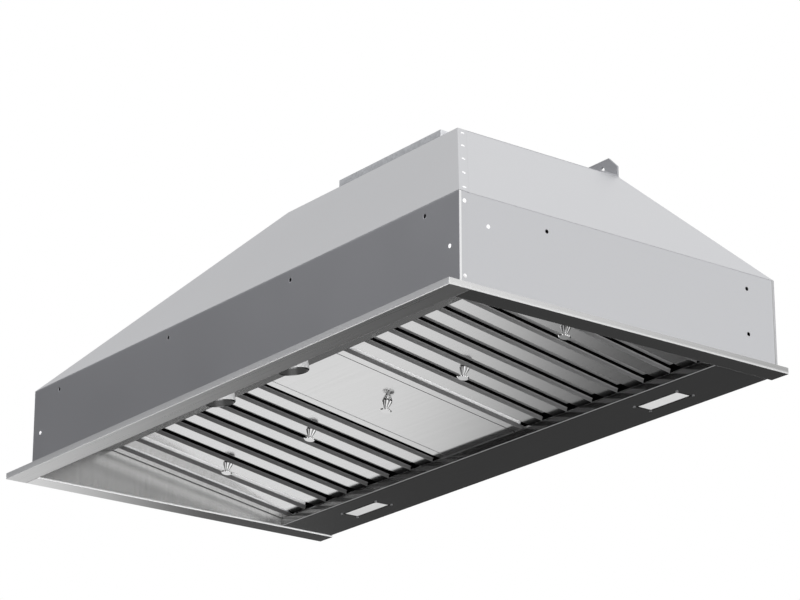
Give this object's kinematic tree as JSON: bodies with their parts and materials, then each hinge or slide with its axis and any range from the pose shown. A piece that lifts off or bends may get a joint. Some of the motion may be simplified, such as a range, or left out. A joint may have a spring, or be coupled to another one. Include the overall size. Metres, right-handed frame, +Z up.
{
  "type": "range hood insert",
  "caption": "Steel range hood insert: flanged tapering liner with hinged baffle filters, centre panel, rear lights, two knobs, internal blower and duct damper.",
  "frame": {"origin": "centre of the bounding box's bottom face, on the flange's underside", "axes": "+X left to right as seen from the control side, +Y towards the wall, +Z up"},
  "size_m": [1.178, 0.642, 0.472],
  "materials": {
    "shell_steel": "satin",
    "flange_steel": "brushed",
    "liner_steel": "brushed",
    "filter_steel": "brushed",
    "back_baffle_steel": "satin",
    "galvanised": "spangled",
    "bracket_steel": "satin",
    "chrome": "polished",
    "knob_metal": "polished rim, brushed face",
    "rivet_white": "bright",
    "screw_steel": "zinc plated",
    "lens": "opal",
    "light_can": "pressed",
    "led_board": "white solder mask",
    "driver_case": "moulded",
    "switch_plastic": "moulded",
    "brass": "machined",
    "wheel_steel": "galvanised",
    "motor_paint": "satin",
    "shaft_steel": "ground"
  },
  "bodies": {
    "shell": {"front_band": "shell_steel", "left_band": "shell_steel", "right_band": "shell_steel", "canopy_front": "shell_steel", "canopy_left": "shell_steel", "canopy_right": "shell_steel", "rear_wall": "shell_steel", "top_plate": "shell_steel", "front_flange": "flange_steel", "left_flange": "flange_steel", "right_flange": "flange_steel", "left_liner_wall": "liner_steel", "right_liner_wall": "liner_steel", "rear_light_panel": "liner_steel", "grease_trough": "liner_steel", "control_panel": "liner_steel", "filter_catches": "bracket_steel", "left_hanging_bracket": "bracket_steel", "right_hanging_bracket": "bracket_steel", "motor_bracket": "bracket_steel", "duct_collar": "galvanised", "damper_ring": "galvanised", "blower_housing": "galvanised", "inlet_rings": "galvanised", "junction_box": "galvanised", "junction_box_cover": "galvanised", "damper_pins": "screw_steel", "light_screws": "screw_steel", "top_screws": "screw_steel", "fan_switch": "switch_plastic", "light_dimmer": "switch_plastic", "left_light_lens": "lens", "right_light_lens": "lens", "left_light_housing": "light_can", "right_light_housing": "light_can", "run_capacitor": "light_can", "left_led_board": "led_board", "right_led_board": "led_board", "led_driver": "driver_case", "motor": "motor_paint", "band_rivets": "rivet_white", "canopy_rivets": "rivet_white"},
    "left_filter": {"left_filter_frame": "filter_steel", "left_filter_face_baffles": "filter_steel", "left_filter_back_baffles": "back_baffle_steel", "left_filter_pulls": "chrome"},
    "right_filter": {"right_filter_frame": "filter_steel", "right_filter_face_baffles": "filter_steel", "right_filter_back_baffles": "back_baffle_steel", "right_filter_pulls": "chrome"},
    "centre_door": {"centre_panel": "filter_steel", "centre_panel_pull": "chrome"},
    "fan_control": {"fan_knob": "knob_metal", "fan_knob_shaft": "brass"},
    "light_control": {"light_knob": "knob_metal", "light_knob_shaft": "brass"},
    "blower_rotor": {"blower_wheel": "wheel_steel", "wheel_shaft": "shaft_steel"},
    "front_damper": {"front_damper_flap": "galvanised"},
    "rear_damper": {"rear_damper_flap": "galvanised"}
  },
  "joints": [
    {"name": "left_filter_hinge", "type": "hinge", "parent": "shell", "child": "left_filter", "pos_m": [-0.31775, 0.2105, 0.0135], "axis": [1, 0, 0], "range_deg": [0, 80]},
    {"name": "right_filter_hinge", "type": "hinge", "parent": "shell", "child": "right_filter", "pos_m": [0.31775, 0.2105, 0.0135], "axis": [1, 0, 0], "range_deg": [0, 80]},
    {"name": "centre_door_hinge", "type": "hinge", "parent": "shell", "child": "centre_door", "pos_m": [0, 0.2105, 0.0135], "axis": [1, 0, 0], "range_deg": [0, 80]},
    {"name": "fan_knob_turn", "type": "hinge", "parent": "shell", "child": "fan_control", "pos_m": [0.0975, -0.234, 0.05806], "axis": [0, -0.1387, 0.9903], "range_deg": [0, 270]},
    {"name": "light_knob_turn", "type": "hinge", "parent": "shell", "child": "light_control", "pos_m": [-0.0975, -0.234, 0.05806], "axis": [0, -0.1387, 0.9903], "range_deg": [0, 270]},
    {"name": "blower_spin", "type": "hinge", "parent": "shell", "child": "blower_rotor", "pos_m": [0, 0.0702, 0.285], "axis": [1, 0, 0], "continuous": true},
    {"name": "front_damper_hinge", "type": "hinge", "parent": "shell", "child": "front_damper", "pos_m": [0, 0.1557, 0.443], "axis": [-1, 0, 0], "range_deg": [0, 75]},
    {"name": "rear_damper_hinge", "type": "hinge", "parent": "shell", "child": "rear_damper", "pos_m": [0, 0.1647, 0.443], "axis": [1, 0, 0], "range_deg": [0, 75]}
  ]
}
